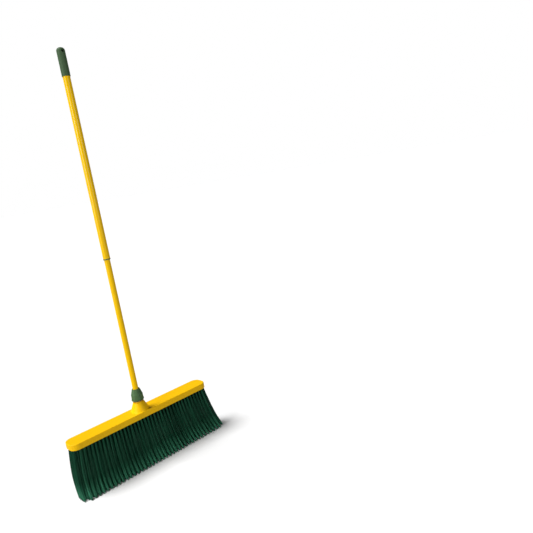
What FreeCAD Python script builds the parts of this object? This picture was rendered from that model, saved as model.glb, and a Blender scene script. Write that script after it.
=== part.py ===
import FreeCAD, Part
import math
import os

import Sketcher

# Push broom: a moulded head with six rows of forward-curled tufts, a clamp-nut socket and a two-part
# telescopic handle with a twist lock inside, a grip with a hanging hole and a tag on an elastic cord.
# Frame: +Z up along the handle, +X along the head, the tufts curl towards -Y. The floor that the tuft
# tips touch is z = 0, and the origin is the centre of the head's footprint. All sizes in millimetres.

Vec = FreeCAD.Vector

SIZES = {
    # head block
    "head_length": 600.0, "head_depth": 77.0, "head_height": 23.0, "head_corner": 28.0,
    "head_top_round": 2.0, "head_base_round": 1.2,
    # conical socket and its threaded neck
    "cone_edge": 0.2, "cone_flare_step": 1.7, "cone_flare_rise": 0.5, "cone_base_step": 3.0,
    "cone_base_rise": 2.0, "cone_shoulder": 3.6, "cone_height": 35.0, "cone_round": 1.0, "neck_wall": 5.8,
    "neck_bare": 8.0, "neck_thread": 18.0, "socket_floor": 15.0,
    # tufts
    "tuft_drop": 172.0, "row_count": 6.0, "row_edge": 7.5, "tuft_pitch": 14.8, "hole_radius": 2.75,
    "hole_depth": 12.0, "hole_mouth": 0.5, "root_radius": 2.4, "belly_radius": 4.8, "tip_radius": 1.6,
    "tip_lean": 18.0, "tip_curl": 41.5, "end_flare": 23.0, "inner_row_lift": 2.0,
    "anchor_width": 6.4, "anchor_thick": 0.8, "anchor_rise": 3.0,
    # clamp nut and the split collet inside it
    "nut_base_wall": 5.8, "nut_waist_wall": 5.1, "nut_waist_rise": 22.0, "nut_top_wall": 3.8,
    "nut_rim": 1.2, "nut_rim_rise": 1.8, "nut_lip": 5.0, "nut_flutes": 8.0, "flute_radius": 2.2,
    "flute_depth": 1.1, "collet_rise": 21.0, "collet_foot_wall": 4.2, "collet_mouth_wall": 1.3,
    "collet_slots": 4.0,
    # tubes
    "tube_wall": 0.8, "lower_radius": 11.0, "bush_wall": 1.2, "joint_rise": 606.0,
    "tube_overlap": 110.0, "plug_length": 20.0, "plug_flange": 2.0,
    "bush_flange": 4.0, "bush_rim": 0.5, "bush_length": 30.0,
    # twist lock on top of the lower tube
    "stud_radius": 4.0, "stud_collar": 1.6, "sleeve_length": 28.0, "sleeve_floor": 4.0,
    "sleeve_bore_low": 6.0, "sleeve_bore_top": 9.5, "cone_length": 20.0, "lock_travel": 3.0,
    # grip
    "grip_rise": 1360.0, "grip_length": 98.0, "grip_wall": 1.8, "grip_dome": 12.0, "grip_solid": 28.0,
    "hang_radius": 4.5, "hang_drop": 14.0,
    # tag
    "card_side": 95.0, "card_thick": 1.5, "card_corner": 12.0, "card_top": 157.0, "card_gap": 3.05,
    "eyelet_drop": 7.0, "eyelet_bore": 3.0, "eyelet_wall": 0.9, "eyelet_flange": 5.5, "eyelet_rim": 0.5,
    "cord_radius": 1.2, "knot_radius": 3.2,
    # named clearances
    "thread_gap": 0.2, "seat_gap": 0.3, "slide_gap": 0.1, "clamp_gap": 0.05, "stud_gap": 0.15,
    "socket_gap": 0.2, "slot_width": 1.2,
}

# Radii that follow what sits inside them: each is the inner piece's radius plus a named wall or gap.
FITTED = {
    "upper_radius": "lower_radius + bush_wall + tube_wall",
    "grip_radius": "lower_radius + bush_wall + tube_wall + grip_wall",
    "neck_radius": "lower_radius + socket_gap + neck_wall",
    "cone_top_radius": "lower_radius + socket_gap + neck_wall + cone_shoulder",
    "cone_foot_radius": "head_depth / 2 - cone_edge",
    "cone_flare_radius": "head_depth / 2 - cone_edge - cone_flare_step",
    "cone_base_radius": "head_depth / 2 - cone_edge - cone_base_step",
    "nut_base_radius": "lower_radius + socket_gap + neck_wall + thread_gap + nut_base_wall",
    "nut_waist_radius": "lower_radius + socket_gap + neck_wall + thread_gap + nut_waist_wall",
    "nut_top_radius": "lower_radius + nut_top_wall",
    "collet_base_radius": "lower_radius + collet_foot_wall",
    "collet_top_radius": "lower_radius + collet_mouth_wall",
}

doc = FreeCAD.newDocument("push_broom")
sheet = doc.addObject("Spreadsheet::Sheet", "sizes")
for index, (alias, number) in enumerate(SIZES.items(), start=1):
    sheet.set(f"A{index}", alias)
    sheet.set(f"B{index}", str(number))
    sheet.setAlias(f"B{index}", alias)
doc.recompute()
for index, (alias, formula) in enumerate(FITTED.items(), start=len(SIZES) + 1):
    sheet.set(f"A{index}", alias)
    sheet.set(f"B{index}", "=" + formula)
    sheet.setAlias(f"B{index}", alias)
doc.recompute()


class Size:
    """A length that knows both its number and the sheet expression that gives it."""

    def __init__(self, number, text):
        self.number = number
        self.text = text

    def join(self, other, sign, swap=False):
        other = other if isinstance(other, Size) else Size(float(other), str(other))
        left, right = (other, self) if swap else (self, other)
        results = {"+": left.number + right.number, "-": left.number - right.number,
                   "*": left.number * right.number}
        number = results[sign] if sign in results else left.number / right.number
        return Size(number, f"({left.text} {sign} {right.text})")

    def __add__(self, other):
        return self.join(other, "+")

    def __radd__(self, other):
        return self.join(other, "+", swap=True)

    def __sub__(self, other):
        return self.join(other, "-")

    def __rsub__(self, other):
        return self.join(other, "-", swap=True)

    def __mul__(self, other):
        return self.join(other, "*")

    def __rmul__(self, other):
        return self.join(other, "*", swap=True)

    def __truediv__(self, other):
        return self.join(other, "/")


def size(alias):
    """The sheet's value under this alias, as a Size."""
    return Size(float(sheet.get(alias)), f"sizes.{alias}")


def number(alias):
    """The sheet's value under this alias, as a plain number."""
    return size(alias).number


# A tuft leans evenly, curls forward with this power of its length and splays with the other.
CURL_POWER = 3.3
FLARE_POWER = 1.3

# ---------------------------------------------------------------- places worked out from the sizes
ROWS = int(number("row_count"))
FACE = size("tuft_drop") + size("head_height")
NUT_FOOT = FACE + size("cone_height") + size("neck_bare")
NECK_TOP = NUT_FOOT + size("neck_thread")
NUT_RISE = size("neck_thread") + size("collet_rise") + size("nut_lip")
SOCKET_FLOOR = size("tuft_drop") + size("socket_floor")
TUBE_FOOT = SOCKET_FLOOR + size("plug_flange")
JOINT = FACE + size("joint_rise")
LOWER_TOP = JOINT + size("tube_overlap")
GRIP_TOP = FACE + size("grip_rise")
UPPER_TOP = GRIP_TOP - size("grip_solid")
LOWER_BORE = size("lower_radius") - size("tube_wall")
UPPER_BORE = size("upper_radius") - size("tube_wall")
SLEEVE_FOOT = LOWER_TOP + size("plug_flange") + size("seat_gap")
ROW_REACH = number("head_depth") / 2 - number("row_edge")


def tip_direction_y():
    """Share of a tuft's end tangent that points forward, for the rows' own curl."""
    forward = number("tip_lean") + CURL_POWER * number("tip_curl")
    return forward / math.hypot(forward, number("tuft_drop"))


FRONT_REACH = (ROW_REACH + number("tip_lean") + number("tip_curl")
               + number("tip_radius") * math.sqrt(1 - tip_direction_y() ** 2))
# The footprint runs from the front tips to the block's rear face, and its middle is y = 0.
HANDLE_Y = (FRONT_REACH - number("head_depth") / 2) / 2


# ---------------------------------------------------------------- helpers for PartDesign bodies
def new_body(name, height):
    """A body on the handle's axis, its own z = 0 at this height."""
    body = doc.addObject("PartDesign::Body", name)
    body.Label = name
    body.Placement = FreeCAD.Placement(Vec(0, HANDLE_Y, 0), FreeCAD.Rotation())
    body.setExpression("Placement.Base.z", height.text)
    return body


def new_sketch(body, name, role="XY_Plane", lift=None):
    """A sketch on one of the body's own origin planes, raised by lift along the plane's normal."""
    sketch = body.newObject("Sketcher::SketchObject", f"{body.Name}_{name}")
    plane = next(item for item in body.Origin.OriginFeatures if item.Role == role)
    sketch.AttachmentSupport = [(plane, "")]
    sketch.MapMode = "FlatFace"
    if lift is not None:
        sketch.setExpression("AttachmentOffset.Base.z", lift.text)
    return sketch


def bind(sketch, kind, places, length):
    """Adds a dimensional constraint whose value is the sheet expression."""
    row = sketch.addConstraint(Sketcher.Constraint(kind, *places, length.number))
    sketch.setExpression(f"Constraints[{row}]", length.text)


def place_point(sketch, line, point):
    """Fixes a line's start point at (across, up), on an axis where a coordinate is zero."""
    for kind, axis, value in (("DistanceX", -2, point[0]), ("DistanceY", -1, point[1])):
        if isinstance(value, Size):
            bind(sketch, kind, (-1, 1, line, 1), value)
        else:
            sketch.addConstraint(Sketcher.Constraint("PointOnObject", line, 1, axis))


def polygon(sketch, points):
    """A closed outline through the points; each coordinate is a Size or the number 0."""
    flat = [Vec(*(value.number if isinstance(value, Size) else 0.0 for value in point), 0)
            for point in points]
    for start, end in zip(flat, flat[1:] + flat[:1]):
        sketch.addGeometry(Part.LineSegment(start, end), False)
    for line, point in enumerate(points):
        sketch.addConstraint(Sketcher.Constraint("Coincident", line, 2, (line + 1) % len(points), 1))
        place_point(sketch, line, point)


def rectangle(sketch, width, height):
    """A rectangle centred on the sketch's origin."""
    across, up = width.number / 2, height.number / 2
    corners = [Vec(-across, -up, 0), Vec(across, -up, 0), Vec(across, up, 0), Vec(-across, up, 0)]
    for start, end in zip(corners, corners[1:] + corners[:1]):
        sketch.addGeometry(Part.LineSegment(start, end), False)
    for line in range(4):
        sketch.addConstraint(Sketcher.Constraint("Coincident", line, 2, (line + 1) % 4, 1))
        sketch.addConstraint(Sketcher.Constraint("Vertical" if line % 2 else "Horizontal", line))
    sketch.addConstraint(Sketcher.Constraint("Symmetric", 0, 1, 2, 1, -1, 1))
    bind(sketch, "DistanceX", (0, 1, 0, 2), width)
    bind(sketch, "DistanceY", (1, 1, 1, 2), height)


def circle(sketch, radius, across=None, up=None):
    """A circle, centred on the origin or at (across, up)."""
    centre = Vec(across.number if across else 0, up.number if up else 0, 0)
    item = sketch.addGeometry(Part.Circle(centre, Vec(0, 0, 1), radius.number), False)
    bind(sketch, "Radius", (item,), radius)
    for kind, axis, value in (("DistanceX", -2, across), ("DistanceY", -1, up)):
        if value:
            bind(sketch, kind, (-1, 1, item, 3), value)
        else:
            sketch.addConstraint(Sketcher.Constraint("PointOnObject", item, 3, axis))


def revolve(body, name, points, kind="PartDesign::Revolution"):
    """Turns a half section given as (radius, height) points about the body's Z axis."""
    sketch = new_sketch(body, f"{name}_section", "XZ_Plane")
    polygon(sketch, points)
    feature = body.newObject(kind, f"{body.Name}_{name}")
    feature.Profile = sketch
    feature.ReferenceAxis = (sketch, ["V_Axis"])
    feature.Angle = 360
    body.Tip = feature
    return feature


def pad(body, name, sketch, length):
    """Extrudes a sketch along its normal."""
    feature = body.newObject("PartDesign::Pad", f"{body.Name}_{name}")
    feature.Profile = sketch
    feature.Length = length.number
    feature.setExpression("Length", length.text)
    body.Tip = feature
    return feature


def pocket(body, name, sketch, length, both_ways=False):
    """Cuts a sketch upwards along its normal, or the same length both ways."""
    feature = body.newObject("PartDesign::Pocket", f"{body.Name}_{name}")
    feature.Profile = sketch
    feature.Length = length.number
    feature.setExpression("Length", length.text)
    feature.Reversed = not both_ways
    feature.Midplane = both_ways
    body.Tip = feature
    return feature


def polar(body, name, feature, count):
    """Repeats a feature round the body's Z axis."""
    pattern = body.newObject("PartDesign::PolarPattern", f"{body.Name}_{name}")
    pattern.Originals = [feature]
    pattern.Axis = (next(item for item in body.Origin.OriginFeatures if item.Role == "Z_Axis"), [""])
    pattern.Angle = 360
    pattern.Occurrences = int(count.number)
    pattern.setExpression("Occurrences", count.text)
    body.Tip = pattern
    return pattern


def round_edges(body, name, feature, radius, chosen):
    """Rounds the edges of the feature that the test picks."""
    doc.recompute()
    edges = [f"Edge{place}" for place, edge in enumerate(feature.Shape.Edges, start=1) if chosen(edge)]
    fillet = body.newObject("PartDesign::Fillet", f"{body.Name}_{name}")
    fillet.Base = (feature, edges)
    fillet.Radius = radius.number
    fillet.setExpression("Radius", radius.text)
    body.Tip = fillet
    return fillet


def is_upright(edge):
    """True for an edge that runs along the body's own Z."""
    box = edge.BoundBox
    return box.ZLength > 1 and box.XLength < 0.01 and box.YLength < 0.01


def lies_at(height):
    """A test for edges that lie wholly at this height in the body's own frame."""
    return lambda edge: abs(edge.BoundBox.ZMin - height) < 0.01 and abs(edge.BoundBox.ZMax - height) < 0.01


def is_circle(radius, height):
    """A test for a full circle of this radius at this height."""
    def chosen(edge):
        round_one = isinstance(edge.Curve, Part.Circle) and abs(edge.Curve.Radius - radius) < 0.01
        return round_one and lies_at(height)(edge)
    return chosen


def add_shape(name, shape):
    """A sub-part whose shape is made directly, in the broom's own frame."""
    item = doc.addObject("Part::Feature", name)
    item.Label = name
    item.Shape = shape
    item.Placement = FreeCAD.Placement(Vec(0, HANDLE_Y, 0), FreeCAD.Rotation())
    return item


# ---------------------------------------------------------------- tufts
def row_offsets():
    """Distance of each row from the handle's axis, front row first."""
    step = 2 * ROW_REACH / (ROWS - 1)
    return [-ROW_REACH + step * row for row in range(ROWS)]


def row_columns(offset):
    """Places of a row's tufts along X: even steps that end inside the block's rounded corners."""
    corner, edge = number("head_corner"), number("row_edge")
    past_corner = max(0.0, abs(offset) - (number("head_depth") / 2 - corner))
    inset = corner - math.sqrt(max(0.0, (corner - edge) ** 2 - past_corner ** 2))
    reach = number("head_length") / 2 - inset
    steps = int(round(2 * reach / number("tuft_pitch")))
    return [-reach + 2 * reach * step / steps for step in range(steps + 1)]


def tuft_line(root_x, root_y, lift, share):
    """Centre line of a tuft below the block: share runs from 0 at the block to 1 at the tip."""
    drop = number("tuft_drop") - lift
    end_rise = number("tip_radius") * tip_direction_y()
    flare = number("end_flare") * root_x / (number("head_length") / 2)
    return Vec(root_x + flare * share ** FLARE_POWER,
               root_y - number("tip_lean") * share - number("tip_curl") * share ** CURL_POWER,
               number("tuft_drop") - (drop - end_rise) * share)


def hexagon(centre, along, radius):
    """A closed six-sided wire round a centre, square to the direction given."""
    side = along.cross(Vec(0, 1, 0)).normalize()
    other = along.cross(side).normalize()
    ring = [centre + side * (radius * math.cos(turn)) + other * (radius * math.sin(turn))
            for turn in (math.pi / 3 * corner for corner in range(6))]
    return Part.makePolygon(ring + ring[:1])


# How full a tuft is, from its root or tip radius to its belly radius, at shares of its length.
TUFT_FULLNESS = {0.25: 0.55, 0.5: 0.95, 0.7: 1.0, 0.85: 0.8, 1.0: 0.0}
TANGENT_STEP = 0.01


def tuft(root_x, root_y, lift):
    """One tuft as a closed solid: straight in its hole, then swelling, curling and tapering."""
    down = Vec(0, 0, -1)
    root_top = number("tuft_drop") + number("hole_depth") - number("anchor_rise")
    wires = [hexagon(Vec(root_x, root_y, root_top), down, number("root_radius"))]
    mouth = number("tuft_drop") + number("hole_mouth")
    wires.append(hexagon(Vec(root_x, root_y, mouth), down, number("root_radius")))
    for share, full in TUFT_FULLNESS.items():
        centre = tuft_line(root_x, root_y, lift, share)
        along = centre - tuft_line(root_x, root_y, lift, share - TANGENT_STEP)
        thin = number("tip_radius") if share == 1.0 else number("root_radius")
        radius = thin + (number("belly_radius") - thin) * full
        wires.append(hexagon(centre, along.normalize(), radius))
    return Part.makeLoft(wires, True, True)


def tuft_rows():
    """One sub-part for each row of tufts."""
    for row, offset in enumerate(row_offsets(), start=1):
        lift = 0.0 if row in (1, ROWS) else number("inner_row_lift")
        tufts = [tuft(column, offset, lift) for column in row_columns(offset)]
        add_shape(f"bristle_row_{row}", Part.makeCompound(tufts))


def tuft_anchors():
    """The flat wire anchors at the blind ends of the tuft holes."""
    wide, thick, rise = number("anchor_width"), number("anchor_thick"), number("anchor_rise")
    foot = number("tuft_drop") + number("hole_depth") - rise
    plates = [Part.makeBox(wide, thick, rise, Vec(column - wide / 2, offset - thick / 2, foot))
              for offset in row_offsets() for column in row_columns(offset)]
    add_shape("tuft_anchors", Part.makeCompound(plates))


# ---------------------------------------------------------------- head block
def head_block():
    """The moulded block with its conical socket, threaded neck, blind bore and tuft holes."""
    body = new_body("head_solid", size("tuft_drop"))
    height = size("head_height")
    outline = new_sketch(body, "outline")
    rectangle(outline, size("head_length"), size("head_depth"))
    slab = pad(body, "slab", outline, height)
    slab = round_edges(body, "corners", slab, size("head_corner"), is_upright)
    slab = round_edges(body, "top_round", slab, size("head_top_round"), lies_at(height.number))
    round_edges(body, "base_round", slab, size("head_base_round"), lies_at(0))
    cone_top = height + size("cone_height")
    neck_top = cone_top + size("neck_bare") + size("neck_thread")
    sunk = height - size("head_top_round")
    socket = revolve(body, "socket", [
        (0, sunk), (size("cone_foot_radius"), sunk), (size("cone_foot_radius"), height),
        (size("cone_flare_radius"), height + size("cone_flare_rise")),
        (size("cone_base_radius"), height + size("cone_base_rise")),
        (size("cone_top_radius"), cone_top), (size("neck_radius"), cone_top),
        (size("neck_radius"), neck_top), (0, neck_top)])
    round_edges(body, "socket_round", socket, size("cone_round"),
                is_circle(number("cone_top_radius"), cone_top.number))
    bore = size("lower_radius") + size("socket_gap")
    revolve(body, "bore", [(0, size("socket_floor")), (bore, size("socket_floor")), (bore, neck_top),
                           (0, neck_top)], "PartDesign::Groove")
    holes = doc.addObject("Part::Feature", "tuft_holes")
    holes.Shape = Part.makeCompound([
        Part.makeCylinder(number("hole_radius"), number("hole_depth"), Vec(column, offset, number("tuft_drop")))
        for offset in row_offsets() for column in row_columns(offset)])
    holes.Placement = FreeCAD.Placement(Vec(0, HANDLE_Y, 0), FreeCAD.Rotation())
    block = doc.addObject("Part::Cut", "head_block")
    block.Label = "head_block"
    block.Base = body
    block.Tool = holes
    return [block]


# ---------------------------------------------------------------- clamp nut and collet
def clamp_nut():
    """Fluted union nut: threaded below, with a cone inside that closes the collet."""
    body = new_body("clamp_nut", NUT_FOOT)
    thread = size("neck_radius") + size("thread_gap")
    seat_foot = size("neck_thread") + size("seat_gap")
    seat_top = size("neck_thread") + size("collet_rise") + size("seat_gap")
    mouth = size("lower_radius") + size("seat_gap") * 2
    rim = size("nut_base_radius") + size("nut_rim")
    revolve(body, "shell", [
        (thread, 0), (rim, 0), (rim, size("nut_rim_rise")), (size("nut_base_radius"), size("nut_rim_rise")),
        (size("nut_waist_radius"), size("nut_waist_rise")), (size("nut_top_radius"), NUT_RISE),
        (mouth, NUT_RISE), (mouth, seat_top), (size("collet_top_radius") + size("seat_gap"), seat_top),
        (size("collet_base_radius") + size("seat_gap"), seat_foot), (thread, seat_foot)])
    out = size("flute_radius") - size("flute_depth")
    levels = {"low": (size("nut_base_radius"), size("nut_rim_rise")),
              "waist": (size("nut_waist_radius"), size("nut_waist_rise")),
              "top": (size("nut_top_radius"), NUT_RISE)}
    rings = []
    for name, (radius, rise) in levels.items():
        ring = new_sketch(body, f"flute_{name}", lift=rise)
        circle(ring, size("flute_radius"), radius + out)
        rings.append(ring)
    flute = body.newObject("PartDesign::SubtractiveLoft", "clamp_nut_flute")
    flute.Profile = rings[0]
    flute.Sections = rings[1:]
    flute.Ruled = True
    body.Tip = flute
    polar(body, "flutes", flute, size("nut_flutes"))
    return [body]


def clamp_collet():
    """Split tapered ring that stands on the neck and grips the tube."""
    body = new_body("clamp_collet", NECK_TOP)
    bore = size("lower_radius") + size("clamp_gap")
    revolve(body, "ring", [(bore, 0), (size("collet_base_radius"), 0),
                           (size("collet_top_radius"), size("collet_rise")), (bore, size("collet_rise"))])
    web = size("collet_rise") / 4
    outline = new_sketch(body, "slot", lift=web)
    near, far = size("lower_radius") / 2, size("collet_base_radius") + 1
    half = size("slot_width")
    polygon(outline, [(near, 0), (far, 0), (far, half), (near, half)])
    slot = pocket(body, "slot_cut", outline, size("collet_rise"))
    polar(body, "slots", slot, size("collet_slots"))
    return [body]


# ---------------------------------------------------------------- tubes
def tube(name, foot, top, radius):
    """A plain round tube between two heights."""
    body = new_body(name, foot)
    bore = radius - size("tube_wall")
    length = top - foot
    revolve(body, "wall", [(bore, 0), (radius, 0), (radius, length), (bore, length)])
    return body


def lower_tube_plug():
    """Plastic plug that closes the tube's foot and rests on the socket's floor."""
    body = new_body("lower_tube_plug", SOCKET_FLOOR)
    flange = size("plug_flange")
    revolve(body, "plug", [(0, 0), (size("lower_radius"), 0), (size("lower_radius"), flange),
                           (LOWER_BORE, flange), (LOWER_BORE, flange + size("plug_length")),
                           (0, flange + size("plug_length"))])
    return body


def guide_bush():
    """Ring on the foot of the thick tube that guides the thin one."""
    body = new_body("guide_bush", JOINT - size("bush_flange"))
    bore = size("lower_radius") + size("slide_gap")
    rim = size("upper_radius") + size("bush_rim")
    flange = size("bush_flange")
    length = flange + size("bush_length")
    revolve(body, "ring", [(bore, 0), (rim, 0), (rim, flange), (UPPER_BORE, flange),
                           (UPPER_BORE, length), (bore, length)])
    return body


# ---------------------------------------------------------------- twist lock
def lock_stud():
    """Plug in the top of the thin tube with the threaded stud of the twist lock."""
    body = new_body("lock_stud", LOWER_TOP - size("plug_length"))
    spigot = size("plug_length")
    flange = spigot + size("plug_flange")
    thread_top = flange + size("seat_gap") + size("sleeve_length") + size("lock_travel")
    collar = size("stud_radius") + size("stud_collar")
    revolve(body, "stud", [(0, 0), (LOWER_BORE, 0), (LOWER_BORE, spigot), (size("lower_radius"), spigot),
                           (size("lower_radius"), flange), (size("stud_radius"), flange),
                           (size("stud_radius"), thread_top), (collar, thread_top),
                           (collar, thread_top + size("plug_flange")),
                           (0, thread_top + size("plug_flange"))])
    return body


def lock_sleeve():
    """Split sleeve that the cone spreads against the wall of the thick tube."""
    body = new_body("lock_sleeve", SLEEVE_FOOT)
    bore = size("stud_radius") + size("stud_gap")
    outer = UPPER_BORE - size("slide_gap")
    revolve(body, "wall", [(bore, 0), (outer, 0), (outer, size("sleeve_length")),
                           (size("sleeve_bore_top"), size("sleeve_length")),
                           (size("sleeve_bore_low"), size("sleeve_floor")), (bore, size("sleeve_floor"))])
    outline = new_sketch(body, "slot", lift=size("sleeve_floor") * 2)
    far = UPPER_BORE + 1
    polygon(outline, [(bore, 0), (far, 0), (far, size("slot_width")), (bore, size("slot_width"))])
    slot = pocket(body, "slot_cut", outline, size("sleeve_length"))
    polar(body, "slots", slot, size("collet_slots"))
    return [body]


def lock_cone():
    """Cone on the stud's thread that is drawn down into the sleeve."""
    body = new_body("lock_cone", SLEEVE_FOOT + size("sleeve_floor") + size("slide_gap"))
    bore = size("stud_radius") + size("stud_gap")
    cavity = size("sleeve_length") - size("sleeve_floor")
    top = size("sleeve_bore_low") + (size("sleeve_bore_top") - size("sleeve_bore_low")) \
        * size("cone_length") / cavity
    revolve(body, "cone", [(bore, 0), (size("sleeve_bore_low") - size("stud_gap"), 0),
                           (top - size("stud_gap"), size("cone_length")), (bore, size("cone_length"))])
    return body


# ---------------------------------------------------------------- grip
def grip():
    """Hand grip pushed over the thick tube, domed, with a hanging hole across its top."""
    body = new_body("grip", GRIP_TOP - size("grip_length"))
    length = size("grip_length")
    inside = length - size("grip_solid")
    shell = revolve(body, "shell", [(size("upper_radius"), 0), (size("grip_radius"), 0),
                                    (size("grip_radius"), length), (0, length), (0, inside),
                                    (size("upper_radius"), inside)])
    round_edges(body, "dome", shell, size("grip_dome"), is_circle(number("grip_radius"), length.number))
    hole = new_sketch(body, "hole", "XZ_Plane")
    circle(hole, size("hang_radius"), None, length - size("hang_drop"))
    pocket(body, "hole_cut", hole, size("grip_radius") * 3, both_ways=True)
    return [body]


# ---------------------------------------------------------------- tag
CARD_Y = size("head_depth") / 2 + size("card_gap")
EYELET_Z = size("card_top") - size("eyelet_drop")


def upright_body(name):
    """A body whose own Z points forward (-Y), on the eyelet's axis at the middle of the card."""
    body = doc.addObject("PartDesign::Body", name)
    body.Label = name
    facing = FreeCAD.Rotation(Vec(1, 0, 0), 90)
    body.Placement = FreeCAD.Placement(Vec(0, HANDLE_Y + CARD_Y.number, EYELET_Z.number), facing)
    body.setExpression("Placement.Base.z", EYELET_Z.text)
    return body


def tag_card():
    """Square card with rounded corners and a hole for the eyelet near its upper edge."""
    body = upright_body("tag_card")
    outline = new_sketch(body, "outline", lift=0 - size("card_thick") / 2)
    half = size("card_side") / 2
    rectangle(outline, size("card_side"), size("card_side"))
    outline.setExpression("AttachmentOffset.Base.y", (size("eyelet_drop") - half).text)
    sheet_pad = pad(body, "board", outline, size("card_thick"))
    round_edges(body, "corners", sheet_pad, size("card_corner"), is_upright)
    hole = new_sketch(body, "hole", lift=0 - size("card_thick"))
    circle(hole, size("eyelet_bore") + size("eyelet_wall"))
    pocket(body, "hole_cut", hole, size("card_thick") * 2)
    return [body]


def tag_eyelet():
    """Rolled metal eyelet that lines the card's hole."""
    body = upright_body("tag_eyelet")
    half = size("card_thick") / 2
    rim, bore = size("eyelet_rim"), size("eyelet_bore")
    barrel = bore + size("eyelet_wall")
    total = size("card_thick") + rim * 2
    ring = revolve(body, "ring", [(bore, 0), (size("eyelet_flange"), 0), (size("eyelet_flange"), rim),
                                  (barrel, rim), (barrel, total - rim), (size("eyelet_flange"), total - rim),
                                  (size("eyelet_flange"), total), (bore, total)])
    ring.Profile[0].setExpression("AttachmentOffset.Base.y", (0 - half - rim).text)
    return [body]


# The cord's route from the handle's axis: out of the knot, down over the cone and the block's rear
# edge, through the eyelet, up again and once round the neck back to the knot.
STRAND_OUT = [(-0.6, 21.6, 234.0), (-2.8, 27.0, 225.0), (-4.2, 33.6, 210.0), (-4.6, 41.2, 196.5),
              (-4.0, 43.9, 181.0), (-2.6, 44.3, 167.0), (-1.8, 44.1, 159.0), (-1.2, 44.2, 151.2)]
STRAND_BACK = [(1.2, 38.9, 151.2), (1.9, 38.8, 159.0), (3.0, 40.6, 167.5), (4.2, 41.7, 181.0),
               (4.6, 41.0, 196.5), (4.4, 33.6, 210.0), (4.8, 28.0, 225.5)]
LOOP_Z = 234.0
LOOP_RADIUS = 19.1
LOOP_POINTS = 11
LOOP_STEP = 30
ARC_SHARE = 0.45
KNOT_BEHIND = 0.4
LOOP_END = (-2.2, 21.4, 234.2)


def cord_route():
    """All the points that the cord passes, in the handle's frame."""
    turns = [math.radians(LOOP_STEP * step) for step in range(1, LOOP_POINTS + 1)]
    ring = [(LOOP_RADIUS * math.sin(turn), LOOP_RADIUS * math.cos(turn), LOOP_Z) for turn in turns]
    return [Vec(*point) for point in STRAND_OUT + STRAND_BACK + ring + [LOOP_END]]


def tube_along(points, radius):
    """A round tube along straight runs joined by tangent arcs; prints each arc's radius."""
    edges, here, radii = [], points[0], []
    for before, corner, after in zip(points, points[1:], points[2:]):
        into, out = corner - before, after - corner
        reach = ARC_SHARE * min(into.Length, out.Length)
        half_turn = into.getAngle(out) / 2
        into.normalize()
        out.normalize()
        start, end = corner - into * reach, corner + out * reach
        bend = reach / math.tan(half_turn)
        inward = (out - into).normalize()
        middle = corner + inward * (math.hypot(bend, reach) - bend)
        edges.append(Part.makeLine(here, start))
        edges.append(Part.Arc(start, middle, end).toShape())
        here = end
        radii.append(round(bend, 1))
    edges.append(Part.makeLine(here, points[-1]))
    path = Part.Wire(edges)
    first = (points[1] - points[0]).normalize()
    ring = Part.Wire([Part.makeCircle(radius, points[0], first)])
    solid = path.makePipeShell([ring], True, False)
    print("cord length", round(path.Length, 1), "arc radii", radii)
    print("cord volume", round(solid.Volume, 1), "section x length",
          round(math.pi * radius ** 2 * path.Length, 1))
    return solid


def tag_cord():
    """The elastic loop as one tube."""
    return [add_shape("tag_cord", tube_along(cord_route(), number("cord_radius")))]


def tag_knot():
    """The knot that joins the loop's two ends at the rear of the neck."""
    knot = doc.addObject("Part::Sphere", "tag_knot")
    knot.Label = "tag_knot"
    knot.setExpression("Radius", "sizes.knot_radius")
    ends = (Vec(*STRAND_OUT[0]) + Vec(*LOOP_END)) * 0.5
    knot.Placement = FreeCAD.Placement(ends + Vec(0, HANDLE_Y + KNOT_BEHIND, 0), FreeCAD.Rotation())
    return [knot]


# ---------------------------------------------------------------- build, test, write
tuft_rows()
tuft_anchors()
head_block()
clamp_nut()
clamp_collet()
tube("lower_tube", TUBE_FOOT, LOWER_TOP, size("lower_radius"))
lower_tube_plug()
lock_stud()
lock_sleeve()
lock_cone()
tube("upper_tube", JOINT, UPPER_TOP, size("upper_radius"))
guide_bush()
grip()
tag_card()
tag_eyelet()
tag_cord()
tag_knot()
doc.recompute()

NODES = [f"bristle_row_{row}" for row in range(1, ROWS + 1)] + [
    "tuft_anchors", "head_block", "clamp_nut", "clamp_collet", "lower_tube", "lower_tube_plug",
    "lock_stud", "lock_sleeve", "lock_cone", "upper_tube", "guide_bush", "grip", "tag_card",
    "tag_eyelet", "tag_cord", "tag_knot"]
for item in doc.Objects:
    if "Invalid" in item.State or "Error" in item.State:
        raise RuntimeError(f"{item.Name} did not build: {item.State}")
os.makedirs("parts", exist_ok=True)
shapes = {item.Label: item.Shape for item in doc.Objects if item.Label in NODES}
for node in NODES:
    if shapes[node].isNull() or not shapes[node].isValid():
        raise RuntimeError(f"{node} has no valid shape")
for node in NODES:
    shapes[node].exportStep(f"parts/{node}.step")
    print(node, len(shapes[node].Solids), "solids", round(shapes[node].Volume / 1000, 2), "cm3")
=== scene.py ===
import logging
import math
from dataclasses import dataclass, field
from enum import Enum

import bpy
import numpy as np
from mathutils import Matrix, Vector


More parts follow.
